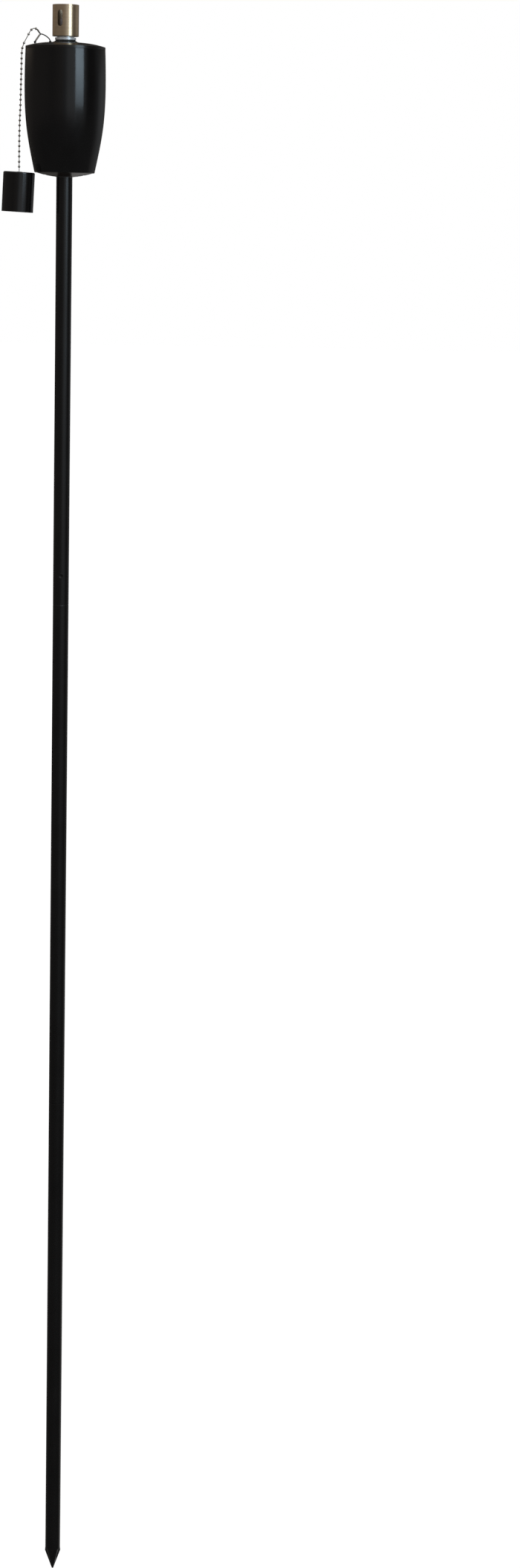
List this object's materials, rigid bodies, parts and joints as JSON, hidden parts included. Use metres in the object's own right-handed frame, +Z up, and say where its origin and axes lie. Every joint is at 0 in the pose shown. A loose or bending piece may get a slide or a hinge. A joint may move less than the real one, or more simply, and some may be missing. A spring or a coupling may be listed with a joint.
{
  "type": "tiki torch",
  "caption": "Garden oil torch: slender sectional stake pole, barrel-shaped fuel canister, slotted metal wick burner and a snuffer cap on a bead chain.",
  "frame": {"origin": "on the pole's axis at the ground line, 200 mm above the tip of the stake", "axes": "+Z up along the pole, -Y to the front, +X to the right; the snuffer hangs on the -X side"},
  "size_m": [0.1022, 0.0802, 1.65],
  "materials": {
    "black_paint": "satin black enamel over steel, smooth with a faint orange peel",
    "brushed_steel": "brushed stainless steel, grain running upright",
    "zinc_steel": "bright turned and zinc-plated steel",
    "chain_steel": "nickel-plated steel beads",
    "black_wire": "black enamelled wire",
    "rubber": "matt black rubber",
    "wick": "plaited glass-fibre wick, off-white"
  },
  "bodies": {
    "stake": {"lower_pole": "black_paint"},
    "middle_section": {"middle_pole": "black_paint", "lower_coupler": "zinc_steel"},
    "upper_section": {"upper_pole": "black_paint", "upper_coupler": "zinc_steel"},
    "canister": {"pole_socket": "zinc_steel", "canister_bottom": "black_paint", "canister_shell": "black_paint", "canister_lid": "black_paint", "filler_neck": "black_paint", "neck_gasket": "rubber", "chain_loop": "black_wire", "loop_boss_left": "black_wire", "loop_boss_right": "black_wire", "chain_coupling": "chain_steel"},
    "burner": {"burner_plug": "zinc_steel", "burner_shroud": "brushed_steel", "wick_tube": "zinc_steel"},
    "wick": {"wick": "wick"},
    "chain": {"snuffer_chain": "chain_steel", "chain_end_link": "chain_steel"},
    "snuffer": {"snuffer_cap": "black_paint", "cap_eyelet": "black_wire"}
  },
  "joints": [
    {"name": "middle_section_lift", "type": "slide", "parent": "stake", "child": "middle_section", "axis": [0, 0, 1], "range_m": [0, 0.045]},
    {"name": "upper_section_lift", "type": "slide", "parent": "middle_section", "child": "upper_section", "axis": [0, 0, 1], "range_m": [0, 0.045]},
    {"name": "canister_lift", "type": "slide", "parent": "upper_section", "child": "canister", "axis": [0, 0, 1], "range_m": [0, 0.045]},
    {"name": "burner_lift", "type": "slide", "parent": "canister", "child": "burner", "axis": [0, 0, 1], "range_m": [0, 0.12]},
    {"name": "wick_slide", "type": "slide", "parent": "burner", "child": "wick", "axis": [0, 0, 1], "range_m": [-0.004, 0.01]},
    {"name": "chain_swing", "type": "hinge", "parent": "canister", "child": "chain", "pos_m": [-0.0249, 0, 1.4219], "axis": [0, 1, 0], "range_deg": [0, 70]},
    {"name": "snuffer_swing", "type": "hinge", "parent": "chain", "child": "snuffer", "pos_m": [-0.0448, 0, 1.2878], "axis": [1, 0, 0], "range_deg": [-30, 30]}
  ]
}
